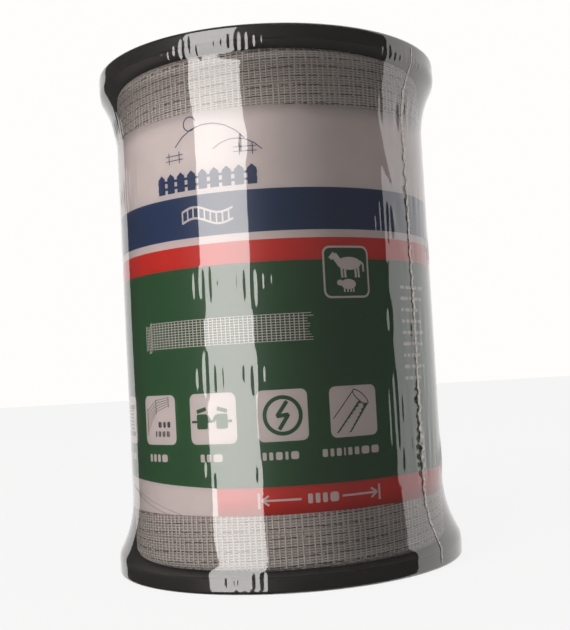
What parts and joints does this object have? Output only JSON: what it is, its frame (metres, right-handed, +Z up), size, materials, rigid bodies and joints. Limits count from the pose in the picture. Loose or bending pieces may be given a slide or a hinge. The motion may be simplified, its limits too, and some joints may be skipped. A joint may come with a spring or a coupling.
{
  "type": "spool of electric fence tape",
  "caption": "Plastic spool wound with woven conductive fence tape, with a printed paper label, sealed in clear shrink film with both axle holes left open.",
  "frame": {"origin": "centre of the lower end, on the surface that the spool stands on", "axes": "+Z up along the spool's axis; -Y is the label's front"},
  "size_m": [0.13, 0.13, 0.1865],
  "materials": {
    "spool_plastic": "injection-moulded black recycled polypropylene, satin",
    "tube_plastic": "extruded black polypropylene, matte",
    "woven_tape": "woven white polyethylene monofilament, open weave with a satin sheen",
    "conductor_steel": "bright drawn stainless wire",
    "adhesive_strip": "clear polypropylene packing tape",
    "label_paper": "offset-printed label in blue, red, green and white bands, semi-gloss",
    "clear_film": "clear shrink film, high gloss, finely crinkled"
  },
  "bodies": {
    "root": {"upper_flange": "spool_plastic", "lower_flange": "spool_plastic", "core_tube": "tube_plastic", "tape_inner_layers": "woven_tape", "tape_outer_layer": "woven_tape", "steel_conductors": "conductor_steel", "tape_start_tail": "woven_tape", "end_fixing_strip": "adhesive_strip", "label_wrap": "label_paper", "shrink_film": "clear_film"}
  },
  "joints": []
}
